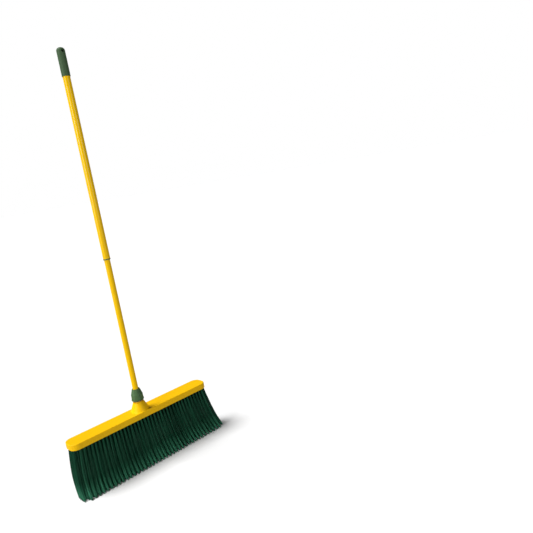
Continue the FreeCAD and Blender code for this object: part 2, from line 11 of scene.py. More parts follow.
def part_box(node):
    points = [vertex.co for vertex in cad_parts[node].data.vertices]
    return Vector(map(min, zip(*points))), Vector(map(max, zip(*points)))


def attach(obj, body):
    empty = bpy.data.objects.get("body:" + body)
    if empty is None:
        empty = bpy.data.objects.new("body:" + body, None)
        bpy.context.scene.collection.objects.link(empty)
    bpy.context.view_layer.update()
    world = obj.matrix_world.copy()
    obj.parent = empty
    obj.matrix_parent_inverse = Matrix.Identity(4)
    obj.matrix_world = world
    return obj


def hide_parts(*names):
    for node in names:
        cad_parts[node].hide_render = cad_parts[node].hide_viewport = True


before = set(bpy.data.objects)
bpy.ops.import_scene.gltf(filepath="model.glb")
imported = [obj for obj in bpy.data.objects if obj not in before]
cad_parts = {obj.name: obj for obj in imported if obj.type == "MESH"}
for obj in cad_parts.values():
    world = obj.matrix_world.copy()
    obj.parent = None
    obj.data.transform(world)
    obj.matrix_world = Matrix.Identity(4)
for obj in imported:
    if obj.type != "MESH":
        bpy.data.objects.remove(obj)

MM = 0.001
BLOCK_HEIGHT = 23 * MM
log = logging.getLogger("push_broom")

Colour = tuple[float, float, float, float]


class Body(Enum):
    """The rigid bodies that pieces ride on."""

    HEAD = "head"


# ------------------------------------------------------------------ shared shader node groups


class Tree:
    """Thin wrapper round a node tree that adds nodes and links in one call."""

    def __init__(self, tree: bpy.types.NodeTree) -> None:
        """Keeps the tree that every call works on."""
        self.tree = tree

    def add(self, kind: str, **values: object) -> bpy.types.Node:
        """Adds one node.

        Args:
            kind: Blender's node class name.
            values: Socket values or links by socket name, spaces written as underscores, and node
                settings by their own lower-case names.

        Returns:
            The new node.
        """
        node = self.tree.nodes.new(kind)
        for key, value in values.items():
            if key.islower():
                setattr(node, key, value)
                continue
            self.feed(node.inputs[key.replace("_", " ")], value)
        return node

    def feed(self, socket: bpy.types.NodeSocket, value: object) -> None:
        """Links a socket to an output, or sets its default value."""
        if isinstance(value, bpy.types.NodeSocket):
            self.tree.links.new(value, socket)
        else:
            socket.default_value = value

    def maths(self, operation: str, first: object, second: object = 0.0) -> bpy.types.NodeSocket:
        """Adds a Math node and returns its output."""
        node = self.tree.nodes.new("ShaderNodeMath")
        node.operation = operation
        self.feed(node.inputs[0], first)
        self.feed(node.inputs[1], second)
        return node.outputs[0]

    def spread(self, value: bpy.types.NodeSocket, low: float, high: float) -> bpy.types.NodeSocket:
        """Maps a value from 0..1 to low..high and returns the result."""
        node = self.add("ShaderNodeMapRange", Value=value, To_Min=low, To_Max=high)
        return node.outputs["Result"]

    def blend(self, mask: bpy.types.NodeSocket, first: object, second: object) -> bpy.types.NodeSocket:
        """Mixes two colours by a mask and returns the colour."""
        node = self.tree.nodes.new("ShaderNodeMix")
        node.data_type = "RGBA"
        self.feed(node.inputs[0], mask)
        self.feed(node.inputs[6], first)
        self.feed(node.inputs[7], second)
        return node.outputs[2]


def new_group(name: str, inputs: dict[str, float], outputs: tuple[str, ...]) -> tuple[Tree, dict, dict]:
    """Makes an empty shader node group with float sockets.

    Args:
        name: The group's name.
        inputs: Input names with their default values.
        outputs: Output names.

    Returns:
        The group's tree, its input sockets by name and its output sockets by name.
    """
    group = bpy.data.node_groups.new(name, "ShaderNodeTree")
    for label, value in inputs.items():
        socket = group.interface.new_socket(label, in_out="INPUT", socket_type="NodeSocketFloat")
        socket.default_value = value
    for label in outputs:
        group.interface.new_socket(label, in_out="OUTPUT", socket_type="NodeSocketFloat")
    entry = group.nodes.new("NodeGroupInput")
    leave = group.nodes.new("NodeGroupOutput")
    return Tree(group), {s.name: s for s in entry.outputs}, {s.name: s for s in leave.inputs}


def object_coordinates(tree: Tree) -> bpy.types.NodeSocket:
    """Returns the object coordinates of the surface."""
    return tree.add("ShaderNodeTexCoord").outputs["Object"]


def make_mould_grain() -> bpy.types.NodeTree:
    """Fine spark-eroded grain and slow flow marks of an injection moulding."""
    tree, given, out = new_group("mould_grain", {"Grain Scale": 2500.0, "Flow Scale": 9.0},
                                 ("Height", "Flow"))
    place = object_coordinates(tree)
    grain = tree.add("ShaderNodeTexNoise", Vector=place, Scale=given["Grain Scale"], Detail=3.0)
    flow = tree.add("ShaderNodeTexNoise", Vector=place, Scale=given["Flow Scale"], Detail=2.0,
                    Distortion=0.6)
    tree.feed(out["Height"], grain.outputs["Fac"])
    tree.feed(out["Flow"], flow.outputs["Fac"])
    return tree.tree


def make_handling_wear() -> bpy.types.NodeTree:
    """Thin scuffs along the handle's length and small rubbed patches."""
    tree, given, out = new_group("handling_wear", {"Scuff Scale": 160.0, "Amount": 0.5},
                                 ("Scuffs", "Patches"))
    place = object_coordinates(tree)
    stretched = tree.add("ShaderNodeMapping", Vector=place, Scale=(1.0, 1.0, 0.12))
    scuffs = tree.add("ShaderNodeTexNoise", Vector=stretched.outputs[0], Scale=given["Scuff Scale"],
                      Detail=4.0, Roughness=0.7)
    sharp = tree.add("ShaderNodeMapRange", Value=scuffs.outputs["Fac"], From_Min=0.58, From_Max=0.72)
    patches = tree.add("ShaderNodeTexNoise", Vector=place, Scale=22.0, Detail=3.0)
    tree.feed(out["Scuffs"], tree.maths("MULTIPLY", sharp.outputs["Result"], given["Amount"]))
    tree.feed(out["Patches"], tree.maths("MULTIPLY", patches.outputs["Fac"], given["Amount"]))
    return tree.tree


class Groups:
    """The shared groups, each built once."""

    def __init__(self) -> None:
        """Builds every group."""
        self.grain = make_mould_grain()
        self.wear = make_handling_wear()

    def use(self, tree: Tree, group: bpy.types.NodeTree, **values: float) -> bpy.types.Node:
        """Places a group in a material and sets its inputs."""
        node = tree.tree.nodes.new("ShaderNodeGroup")
        node.node_tree = group
        for key, value in values.items():
            node.inputs[key.replace("_", " ")].default_value = value
        return node


# ------------------------------------------------------------------ finishes


def start_material(name: str) -> tuple[bpy.types.Material, Tree, bpy.types.Node]:
    """Makes a material and returns it with its tree and its Principled BSDF."""
    material = bpy.data.materials.new(name)
    material.use_nodes = True
    tree = Tree(material.node_tree)
    shader = next(n for n in material.node_tree.nodes if n.type == "BSDF_PRINCIPLED")
    return material, tree, shader


def set_bump(tree: Tree, shader: bpy.types.Node, height: bpy.types.NodeSocket, depth_m: float,
             strength: float = 1.0) -> None:
    """Feeds a height through a Bump node into the shader's normal."""
    bump = tree.add("ShaderNodeBump", Height=height, Distance=depth_m, Strength=strength)
    tree.feed(shader.inputs["Normal"], bump.outputs["Normal"])


@dataclass(frozen=True)
class Moulding:
    """An injection-moulded plastic."""

    name: str
    colour: Colour
    deep: Colour
    rough_low: float = 0.32
    rough_high: float = 0.5
    grain_depth: float = 0.00004
    grain_scale: float = 2500.0
    gloss: float = 0.14

    def build(self, groups: Groups) -> bpy.types.Material:
        """Makes the material.

        Args:
            groups: The shared node groups.

        Returns:
            The finished material.
        """
        material, tree, shader = start_material(self.name)
        grain = groups.use(tree, groups.grain, Grain_Scale=self.grain_scale)
        wear = groups.use(tree, groups.wear, Amount=0.35)
        tone = tree.blend(grain.outputs["Flow"], self.deep, self.colour)
        tree.feed(shader.inputs["Base Color"], tone)
        rough = tree.spread(grain.outputs["Flow"], self.rough_low, self.rough_high)
        worn = tree.maths("ADD", rough, tree.maths("MULTIPLY", wear.outputs["Scuffs"], 0.2))
        tree.feed(shader.inputs["Roughness"], worn)
        shader.inputs["Specular IOR Level"].default_value = self.gloss
        set_bump(tree, shader, grain.outputs["Height"], self.grain_depth, 0.5)
        return material


@dataclass(frozen=True)
class TubeCoating:
    """Thick glossy plastic coating on a steel tube."""

    name: str
    colour: Colour
    deep: Colour

    def build(self, groups: Groups) -> bpy.types.Material:
        """Makes the material.

        Args:
            groups: The shared node groups.

        Returns:
            The finished material.
        """
        material, tree, shader = start_material(self.name)
        grain = groups.use(tree, groups.grain, Grain_Scale=700.0, Flow_Scale=14.0)
        wear = groups.use(tree, groups.wear, Scuff_Scale=420.0, Amount=0.6)
        tone = tree.blend(grain.outputs["Flow"], self.deep, self.colour)
        tree.feed(shader.inputs["Base Color"], tone)
        rough = tree.spread(wear.outputs["Scuffs"], 0.24, 0.6)
        tree.feed(shader.inputs["Roughness"], rough)
        shader.inputs["Specular IOR Level"].default_value = 0.16
        set_bump(tree, shader, grain.outputs["Height"], 0.00006, 0.35)
        return material


@dataclass(frozen=True)
class Filament:
    """Extruded bristle filament, with its own tone for each strand and tips painted paler as a painted
    highlight, standing in for light on their curl.
    """

    name: str
    colour: Colour
    deep: Colour
    # Colour of the painted highlight on the tips.
    tip: Colour

    def build(self, groups: Groups) -> bpy.types.Material:
        """Makes the material.

        Args:
            groups: The shared node groups.

        Returns:
            The finished material.
        """
        material, tree, shader = start_material(self.name)
        strand = tree.add("ShaderNodeAttribute", attribute_name="strand").outputs["Fac"]
        along = tree.add("ShaderNodeAttribute", attribute_name="along").outputs["Fac"]
        body = tree.blend(strand, self.deep, self.colour)
        # Painted highlight: each strand's last part is painted paler towards the tip, by a share of its own,
        # in place of light catching the curled tips.
        end = tree.add("ShaderNodeMapRange", Value=along, From_Min=0.6, From_Max=0.9)
        painted_tip_highlight = tree.maths("MULTIPLY", end.outputs["Result"], tree.spread(strand, 0.35, 0.9))
        tree.feed(shader.inputs["Base Color"], tree.blend(painted_tip_highlight, body, self.tip))
        grain = groups.use(tree, groups.grain, Grain_Scale=1800.0, Flow_Scale=40.0)
        tree.feed(shader.inputs["Roughness"], tree.spread(grain.outputs["Flow"], 0.4, 0.6))
        shader.inputs["Specular IOR Level"].default_value = 0.2
        set_bump(tree, shader, grain.outputs["Height"], 0.00005, 0.4)
        return material


@dataclass(frozen=True)
class PlainMetal:
    """Bare or plated metal with drawn scratches."""

    name: str
    colour: Colour
    rough_low: float = 0.15
    rough_high: float = 0.35

    def build(self, groups: Groups) -> bpy.types.Material:
        """Makes the material.

        Args:
            groups: The shared node groups.

        Returns:
            The finished material.
        """
        material, tree, shader = start_material(self.name)
        wear = groups.use(tree, groups.wear, Scuff_Scale=900.0, Amount=1.0)
        shader.inputs["Base Color"].default_value = self.colour
        shader.inputs["Metallic"].default_value = 1.0
        tree.feed(shader.inputs["Roughness"],
                  tree.spread(wear.outputs["Scuffs"], self.rough_low, self.rough_high))
        set_bump(tree, shader, wear.outputs["Scuffs"], 0.00003, 0.3)
        return material


@dataclass(frozen=True)
class BraidedElastic:
    """Black braided elastic: crossing yarns laid out in the cord's object coordinates."""

    name: str
    colour: Colour
    light: Colour

    def build(self, groups: Groups) -> bpy.types.Material:
        """Makes the material.

        Args:
            groups: The shared node groups.

        Returns:
            The finished material.
        """
        material, tree, shader = start_material(self.name)
        place = object_coordinates(tree)
        turn = {}
        for name, angle in (("left", 0.8), ("right", -0.8)):
            slanted = tree.add("ShaderNodeMapping", Vector=place, Rotation=(angle, 0.0, angle))
            turn[name] = tree.add("ShaderNodeTexWave", Vector=slanted.outputs[0], Scale=420.0,
                                  Distortion=0.0, bands_direction="Z").outputs["Fac"]
        yarn = tree.maths("MAXIMUM", turn["left"], turn["right"])
        tree.feed(shader.inputs["Base Color"], tree.blend(yarn, self.colour, self.light))
        grain = groups.use(tree, groups.grain, Grain_Scale=6000.0)
        tree.feed(shader.inputs["Roughness"], tree.spread(grain.outputs["Height"], 0.55, 0.8))
        shader.inputs["Sheen Weight"].default_value = 0.2
        set_bump(tree, shader, yarn, 0.0002, 0.6)
        return material


@dataclass(frozen=True)
class PrintedCard:
    """Coated grey card with a plain pale border and three plain bars printed on it."""

    name: str
    colour: Colour
    deep: Colour
    ink: Colour
    centre: tuple[float, float] = (0.0, 109.5 * MM)
    border: float = 41 * MM
    line: float = 0.9 * MM
    bars: tuple[tuple[float, float, float], ...] = ((12.0, 56.0, 5.0), (-2.0, 44.0, 5.0), (-16.0, 30.0, 5.0))

    def block(self, tree: Tree, across: bpy.types.NodeSocket, up: bpy.types.NodeSocket, centre: float,
              width: float, height: float) -> bpy.types.NodeSocket:
        """Mask of a box printed on the card.

        Args:
            tree: The material's tree.
            across: Distance across the card from its middle.
            up: Distance up the card from its middle.
            centre: Height of the box's middle.
            width: The box's width.
            height: The box's height.

        Returns:
            1 inside the box and 0 outside it.
        """
        masks = []
        for place, middle, half in ((across, 0.0, width / 2), (up, centre, height / 2)):
            inside = tree.tree.nodes.new("ShaderNodeMath")
            inside.operation = "COMPARE"
            for socket, value in zip(inside.inputs, (place, middle, half)):
                tree.feed(socket, value)
            masks.append(inside.outputs[0])
        return tree.maths("MULTIPLY", *masks)

    def build(self, groups: Groups) -> bpy.types.Material:
        """Makes the material.

        Args:
            groups: The shared node groups.

        Returns:
            The finished material.
        """
        material, tree, shader = start_material(self.name)
        place = tree.add("ShaderNodeSeparateXYZ", Vector=object_coordinates(tree))
        across = tree.maths("SUBTRACT", place.outputs["X"], self.centre[0])
        up = tree.maths("SUBTRACT", place.outputs["Z"], self.centre[1])
        outer = self.block(tree, across, up, 0.0, 2 * self.border, 2 * self.border)
        inner = self.block(tree, across, up, 0.0, 2 * (self.border - self.line), 2 * (self.border - self.line))
        ink = tree.maths("SUBTRACT", outer, inner)
        for level, width, height in self.bars:
            ink = tree.maths("ADD", ink, self.block(tree, across, up, level * MM, width * MM, height * MM))
        grain = groups.use(tree, groups.grain, Grain_Scale=1400.0, Flow_Scale=30.0)
        board = tree.blend(grain.outputs["Flow"], self.deep, self.colour)
        tree.feed(shader.inputs["Base Color"], tree.blend(ink, board, self.ink))
        tree.feed(shader.inputs["Roughness"], tree.spread(grain.outputs["Height"], 0.34, 0.5))
        set_bump(tree, shader, grain.outputs["Height"], 0.00004, 0.4)
        return material


YELLOW_BLOCK = Moulding("yellow_moulding", (0.95, 0.56, 0.001, 1), (0.9, 0.5, 0.0, 1), 0.36, 0.5)
GREEN_FITTING = Moulding("green_moulding", (0.085, 0.165, 0.07, 1), (0.06, 0.125, 0.05, 1), 0.4, 0.55,
                         0.00012, 1300.0)
GREEN_GRIP = Moulding("green_grip", (0.07, 0.125, 0.06, 1), (0.05, 0.1, 0.045, 1), 0.42, 0.6, 0.0001,
                      1500.0)
NATURAL_PLASTIC = Moulding("natural_moulding", (0.7, 0.68, 0.6, 1), (0.62, 0.6, 0.53, 1))
BLACK_PLASTIC = Moulding("black_moulding", (0.03, 0.03, 0.03, 1), (0.02, 0.02, 0.02, 1))
YELLOW_TUBE = TubeCoating("yellow_coating", (0.95, 0.58, 0.001, 1), (0.92, 0.54, 0.0, 1))
# The third colour is the painted highlight on the bristle tips.
GREEN_FILAMENT = Filament("green_filament", (0.003, 0.1, 0.045, 1), (0.001, 0.045, 0.02, 1),
                          (0.06, 0.3, 0.17, 1))
DRAWN_WIRE = PlainMetal("drawn_wire", (0.6, 0.6, 0.58, 1))
EYELET_PLATE = PlainMetal("eyelet_plate", (0.82, 0.82, 0.84, 1), 0.1, 0.3)
ELASTIC = BraidedElastic("black_elastic", (0.006, 0.006, 0.006, 1), (0.045, 0.045, 0.047, 1))
GREY_CARD = PrintedCard("grey_card", (0.105, 0.105, 0.11, 1), (0.085, 0.085, 0.09, 1),
                        (0.72, 0.73, 0.72, 1))


# ------------------------------------------------------------------ modelling helpers


def deselect_all() -> None:
    """Leaves object mode with nothing selected."""
    if bpy.context.object and bpy.context.object.mode != "OBJECT":
        bpy.ops.object.mode_set(mode="OBJECT")
    bpy.ops.object.select_all(action="DESELECT")


def make_active(piece: bpy.types.Object) -> None:
    """Selects one object alone and makes it the active one.

    Args:
        piece: The object to work on.
    """
    deselect_all()
    piece.select_set(True)
    bpy.context.view_layer.objects.active = piece


def settle(piece: bpy.types.Object, name: str) -> bpy.types.Object:
    """Names a finished piece and moves its place into its mesh, so its object sits at the origin.

    Args:
        piece: The finished piece.
        name: Its name.

    Returns:
        The same piece.
    """
    make_active(piece)
    piece.name = name
    piece.data.name = name
    bpy.ops.object.transform_apply(location=True, rotation=True, scale=True)
    return piece


def apply_modifier(piece: bpy.types.Object, kind: str, **settings: object) -> None:
    """Adds a modifier with these settings and applies it.

    Args:
        piece: The piece to change.
        kind: The modifier's type.
        settings: The modifier's values by name.
    """
    make_active(piece)
    modifier = piece.modifiers.new(kind.lower(), kind)
    for key, value in settings.items():
        setattr(modifier, key, value)
    bpy.ops.object.modifier_apply(modifier=modifier.name)


def face_out(piece: bpy.types.Object) -> None:
    """Merges doubled points and turns every face outwards.

    Args:
        piece: The closed piece.
    """
    make_active(piece)
    bpy.ops.object.mode_set(mode="EDIT")
    bpy.ops.mesh.select_all(action="SELECT")
    bpy.ops.mesh.remove_doubles(threshold=1e-6)
    bpy.ops.mesh.normals_make_consistent(inside=False)
    bpy.ops.object.mode_set(mode="OBJECT")


def smooth(piece: bpy.types.Object, degrees: float = 35.0) -> None:
    """Shades a piece smooth apart from edges sharper than the angle."""
    make_active(piece)
    bpy.ops.object.shade_smooth_by_angle(angle=math.radians(degrees))


def dress(piece: bpy.types.Object, material: bpy.types.Material) -> None:
    """Gives the whole piece one material."""
    piece.data.materials.clear()
    piece.data.materials.append(material)


def hand_over(piece: bpy.types.Object, body: Body, slot: str, *nodes: str) -> None:
    """Makes a piece ride on its body in place of CAD nodes, and reports it.

    Args:
        piece: The finished piece.
        body: The body that carries it.
        slot: The record's material slot for its finish; not used.
        nodes: The CAD nodes that it stands for, if any.
    """
    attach(piece, body.value)
    if nodes:
        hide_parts(*nodes)
    log.info("%s rides on %s, %d faces", piece.name, body.value,
             len(piece.data.polygons) if piece.type == "MESH" else 0)


@dataclass(frozen=True)
class Axis:
    """The handle's axis and the levels along it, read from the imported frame."""

    y: float
    face: float
    underside: float
    nut_foot: float

    @classmethod
    def from_frame(cls) -> "Axis":
        """Reads the handle's axis from the CAD nodes."""
        low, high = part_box("lower_tube")
        block_low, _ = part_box("head_block")
        nut_low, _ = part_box("clamp_nut")
        return cls(y=(low.y + high.y) / 2, face=block_low.z + BLOCK_HEIGHT, underside=block_low.z,
                   nut_foot=nut_low.z)


# ------------------------------------------------------------------ the head


@dataclass
class BristleField:
    """Six rows of tufts; each tuft is a bunch of curled, tapered filaments."""

    axis: Axis
    rows: int = 6
    row_edge: float = 7.5 * MM
    corner: float = 28 * MM
    half_depth: float = 38.5 * MM
    half_length: float = 300 * MM
    pitch: float = 14.8 * MM
    lean: float = 18 * MM
    curl: float = 41.5 * MM
    curl_power: float = 3.3
    flare: float = 23 * MM
    flare_power: float = 1.3
    strands: int = 64
    strand_radius: float = 0.56 * MM
    spread_shares: tuple[float, ...] = (0.0, 0.2, 0.45, 0.65, 0.85, 1.0)
    spread_across: tuple[float, ...] = (2.4, 5.6, 7.6, 7.4, 5.6, 4.8)
    spread_ahead: tuple[float, ...] = (2.4, 4.6, 5.8, 5.8, 5.2, 4.6)
    sunk: float = 6 * MM
    stations: tuple[float, ...] = (0.0, 0.16, 0.34, 0.5, 0.64, 0.76, 0.87, 0.95, 1.0)
    seed: int = 7

    def row_offset(self, row: int) -> float:
        """Distance of a row from the handle's axis."""
        reach = self.half_depth - self.row_edge
        return -reach + 2 * reach * row / (self.rows - 1)

    def columns(self, offset: float) -> np.ndarray:
        """Places of a row's tufts along X, ending inside the rounded corners."""
        past = max(0.0, abs(offset) - (self.half_depth - self.corner))
        inset = self.corner - math.sqrt((self.corner - self.row_edge) ** 2 - past ** 2)
        reach = self.half_length - inset
        steps = round(2 * reach / self.pitch)
        return np.linspace(-reach, reach, steps + 1)

    def centre_lines(self, roots: np.ndarray, offset: float, share: np.ndarray) -> np.ndarray:
        """Tuft centre lines.

        Args:
            roots: X of each strand's tuft.
            offset: The row's distance from the handle's axis.
            share: Each strand's own stations, 0 at the block and 1 at a full-length tip.

        Returns:
            Points, one row of stations for each strand.
        """
        end_flare = self.flare * roots[:, None] / self.half_length
        across = roots[:, None] + end_flare * share ** self.flare_power
        ahead = self.axis.y + offset - self.lean * share - self.curl * share ** self.curl_power
        down = self.axis.underside * (1 - share)
        return np.stack([across, ahead, down], axis=-1)

    def strand_paths(self, offset: float, draw: np.random.Generator) -> np.ndarray:
        """Every strand of one row as a path of stations, in metres."""
        columns = self.columns(offset)
        roots = np.repeat(columns, self.strands)
        count = len(roots)
        turn = draw.uniform(0, 2 * math.pi, count)
        out = np.sqrt(draw.uniform(0.02, 1, count))
        reach = 1 - 0.02 * out ** 2 - draw.uniform(0, 0.02, count)
        stations = np.array(self.stations)[None, :] * reach[:, None]
        paths = self.centre_lines(roots, offset, stations)
        waves = ((0, self.spread_across, np.cos(turn)), (1, self.spread_ahead, np.sin(turn)))
        for place, widths, wave in waves:
            spread = np.interp(self.stations, self.spread_shares, widths) * MM
            paths[..., place] += (out * wave)[:, None] * spread[None, :]
        wander = draw.normal(0, 0.5 * MM, (count, 3)) * [1, 1, 0]
        paths += wander[:, None, :] * (np.array(self.stations) ** 1.5)[None, :, None]
        paths[..., 2] = np.maximum(paths[..., 2], self.strand_radius)
        root = paths[:, :1, :].copy()
        root[..., 2] += self.sunk
        return np.concatenate([root, paths], axis=1)

    def strand_mesh(self, name: str, paths: np.ndarray, draw: np.random.Generator) -> bpy.types.Object:
        """Makes every path a closed four-sided tapered rod, all in one mesh.

        Args:
            name: The piece's name.
            paths: The strands' points.
            draw: The row's random draws.

        Returns:
            The piece, with its strand and along attributes.
        """
        count, stops, _ = paths.shape
        tangent = np.gradient(paths, axis=1)
        tangent /= np.linalg.norm(tangent, axis=2, keepdims=True)
        side = np.cross(tangent, [0.0, 1.0, 0.0])
        side /= np.linalg.norm(side, axis=2, keepdims=True)
        other = np.cross(tangent, side)
        taper = np.interp(np.arange(stops), [0, stops - 3, stops - 1], [1.0, 1.0, 0.5])
        size = self.strand_radius * draw.uniform(0.85, 1.15, (count, 1)) * taper[None, :]
        ring = [(1, 0), (0, 1), (-1, 0), (0, -1)]
        corners = np.stack([paths + size[..., None] * (a * side + b * other) for a, b in ring], axis=2)
        first = (np.arange(count) * stops * 4)[:, None, None]
        level = (np.arange(stops - 1) * 4)[None, :, None]
        spot = np.arange(4)[None, None, :]
        here, there = first + level + spot, first + level + (spot + 1) % 4
        walls = np.stack([here, there, there + 4, here + 4], axis=-1).reshape(-1, 4)
        root_cap = first[:, :, 0] + np.array([[3, 2, 1, 0]])
        tip_cap = first[:, :, 0] + (stops - 1) * 4 + np.array([[0, 1, 2, 3]])
        faces = np.concatenate([walls, root_cap, tip_cap])
        mesh = bpy.data.meshes.new(name)
        mesh.from_pydata(corners.reshape(-1, 3).tolist(), [], faces.tolist())
        piece = bpy.data.objects.new(name, mesh)
        bpy.context.scene.collection.objects.link(piece)
        strand = np.repeat(draw.uniform(0, 1, count), stops * 4)
        along = np.tile(np.repeat(np.linspace(0, 1, stops), 4), count)
        for label, values in (("strand", strand), ("along", along)):
            layer = mesh.attributes.new(label, "FLOAT", "POINT")
            layer.data.foreach_set("value", values.astype(np.float32))
        mesh.polygons.foreach_set("use_smooth", np.ones(len(mesh.polygons), bool))
        return piece

    def build(self, material: bpy.types.Material) -> None:
        """Builds the rows, each in place of its CAD node.

        Args:
            material: The piece's finish.
        """
        for row in range(self.rows):
            draw = np.random.default_rng(self.seed + row)
            paths = self.strand_paths(self.row_offset(row), draw)
            piece = self.strand_mesh(f"tuft_row_{row + 1}", paths, draw)
            face_out(piece)
            dress(piece, material)
            hand_over(piece, Body.HEAD, "bristle_green", f"bristle_row_{row + 1}")


@dataclass
class NeckThread:
    """The thread's first turns, which show between the cone and the nut."""

    axis: Axis
    radius: float = 17 * MM
    ridge: float = 0.55 * MM
    pitch: float = 4 * MM
    turns: int = 6
    bare: float = 8 * MM
    rise: float = 1.4 * MM

    def build(self, material: bpy.types.Material) -> None:
        """Sweeps a small ridge up the neck as a helix and closes its ends.

        Args:
            material: The piece's finish.
        """
        deselect_all()
        foot = self.axis.nut_foot - self.bare + self.rise
        bpy.ops.mesh.primitive_circle_add(vertices=8, radius=self.ridge, fill_type="NOTHING",
                                          location=(self.radius, 0, 0), rotation=(math.pi / 2, 0, 0))
        piece = settle(bpy.context.object, "neck_thread")
        apply_modifier(piece, "SCREW", angle=2 * math.pi, screw_offset=self.pitch, iterations=self.turns,
                       steps=48, render_steps=48, axis="Z", use_smooth_shade=True)
        bpy.ops.object.mode_set(mode="EDIT")
        bpy.ops.mesh.select_all(action="SELECT")
        bpy.ops.mesh.fill_holes(sides=8)
        bpy.ops.object.mode_set(mode="OBJECT")
        piece.location = (0, self.axis.y, foot)
        settle(piece, "neck_thread")
        face_out(piece)
        smooth(piece, 50)
        dress(piece, material)
        hand_over(piece, Body.HEAD, "block_yellow")


# ------------------------------------------------------------------ the hang tag


@dataclass
class HangTag:
    """Grey card on an elastic loop round the neck, with a rolled eyelet and a knot."""

    axis: Axis
    strand_out: tuple[tuple[float, float, float], ...] = (
        (-0.6, 21.6, 234.0), (-2.8, 27.0, 225.0), (-4.2, 33.6, 210.0), (-4.6, 41.2, 196.5),
        (-4.0, 43.9, 181.0), (-2.6, 44.3, 167.0), (-1.8, 44.1, 159.0), (-1.2, 44.2, 151.2))
    strand_back: tuple[tuple[float, float, float], ...] = (
        (1.2, 38.9, 151.2), (1.9, 38.8, 159.0), (3.0, 40.6, 167.5), (4.2, 41.7, 181.0),
        (4.6, 41.0, 196.5), (4.4, 33.6, 210.0), (4.8, 28.0, 225.5))
    loop_radius: float = 19.1
    loop_height: float = 234.0
    loop_points: int = 11
    loop_step: float = 30
    loop_end: tuple[float, float, float] = (-2.2, 21.4, 234.2)
    cord_radius: float = 1.2 * MM
    cord_length: float = 0.2885

    def route(self) -> list[Vector]:
        """The cord's points in the row's frame, in metres."""
        turns = [math.radians(self.loop_step * step) for step in range(1, self.loop_points + 1)]
        loop = [(self.loop_radius * math.sin(turn), self.loop_radius * math.cos(turn), self.loop_height)
                for turn in turns]
        points = [*self.strand_out, *self.strand_back, *loop, self.loop_end]
        return [Vector((x * MM, y * MM + self.axis.y, z * MM)) for x, y, z in points]

    def build_cord(self, material: bpy.types.Material) -> bpy.types.Object:
        """Lays the elastic as one smooth open spline.

        Args:
            material: The elastic's finish.

        Returns:
            The cord.
        """
        curve = bpy.data.curves.new("elastic_loop", "CURVE")
        curve.dimensions = "3D"
        spline = curve.splines.new("NURBS")
        points = self.route()
        spline.points.add(len(points) - 1)
        for spot, place in zip(spline.points, points):
            spot.co = (*place, 1.0)
        spline.order_u = 3
        spline.use_endpoint_u = True
        spline.resolution_u = 6
        curve.bevel_depth = self.cord_radius
        curve.bevel_resolution = 3
        curve.use_fill_caps = True
        curve.materials.append(material)
        piece = bpy.data.objects.new("elastic_loop", curve)
        bpy.context.scene.collection.objects.link(piece)
        return piece

    def build_knot(self, material: bpy.types.Material) -> bpy.types.Object:
        """Ties a small overhand knot, modelled from a coiled torus of the cord's thickness.

        Args:
            material: The elastic's finish.

        Returns:
            The knot.
        """
        low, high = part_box("tag_knot")
        centre = (low + high) / 2
        deselect_all()
        bpy.ops.mesh.primitive_torus_add(major_radius=1.75 * MM, minor_radius=1.25 * MM, major_segments=28,
                                         minor_segments=12, location=centre, rotation=(1.2, 0.3, 0.2))
        piece = settle(bpy.context.object, "elastic_knot")
        bpy.ops.mesh.primitive_torus_add(major_radius=1.5 * MM, minor_radius=1.2 * MM, major_segments=28,
                                         minor_segments=12, location=centre, rotation=(0.2, 1.3, 0.4))
        wrap = settle(bpy.context.object, "elastic_wrap")
        make_active(wrap)
        piece.select_set(True)
        bpy.context.view_layer.objects.active = piece
        bpy.ops.object.join()
        face_out(piece)
        smooth(piece, 60)
        dress(piece, material)
        return piece

    def build_eyelet(self, material: bpy.types.Material) -> bpy.types.Object:
        """Rolls the eyelet: a barrel with a rounded rim on both faces of the card.

        Args:
            material: The eyelet's finish.

        Returns:
            The eyelet.
        """
        low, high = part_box("tag_eyelet")
        centre = (low + high) / 2
        deselect_all()
        bpy.ops.mesh.primitive_cylinder_add(vertices=48, radius=3.55 * MM, depth=(high.y - low.y) * 0.8,
                                            location=centre, rotation=(math.pi / 2, 0, 0),
                                            end_fill_type="NOTHING")
        barrel = settle(bpy.context.object, "tag_eyelet_metal")
        apply_modifier(barrel, "SOLIDIFY", thickness=0.5 * MM, offset=-1)
        rims = []
        for level in (low.y + 0.45 * MM, high.y - 0.45 * MM):
            deselect_all()
            bpy.ops.mesh.primitive_torus_add(major_radius=4.35 * MM, minor_radius=0.95 * MM,
                                             major_segments=48, minor_segments=12,
                                             location=(centre.x, level, centre.z),
                                             rotation=(math.pi / 2, 0, 0))
            rim = bpy.context.object
            rim.scale = (1, 1, 0.42)
            rims.append(settle(rim, "eyelet_rim"))
        make_active(barrel)
        for rim in rims:
            rim.select_set(True)
        bpy.context.view_layer.objects.active = barrel
        bpy.ops.object.join()
        face_out(barrel)
        smooth(barrel, 50)
        dress(barrel, material)
        return barrel

    def build(self, materials: dict[str, bpy.types.Material]) -> None:
        """Builds the tag's cord, knot and eyelet, hangs them on the head and dresses the card.

        Args:
            materials: The finishes of the elastic, the eyelet and the card.
        """
        cord = self.build_cord(materials["elastic"])
        knot = self.build_knot(materials["elastic"])
        eyelet = self.build_eyelet(materials["eyelet"])
        hand_over(cord, Body.HEAD, "cord_black", "tag_cord")
        hand_over(knot, Body.HEAD, "cord_black", "tag_knot")
        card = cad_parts["tag_card"]
        dress(card, materials["card"])
        hand_over(eyelet, Body.HEAD, "eyelet_metal", "tag_eyelet")


# ------------------------------------------------------------------ stage, light and camera


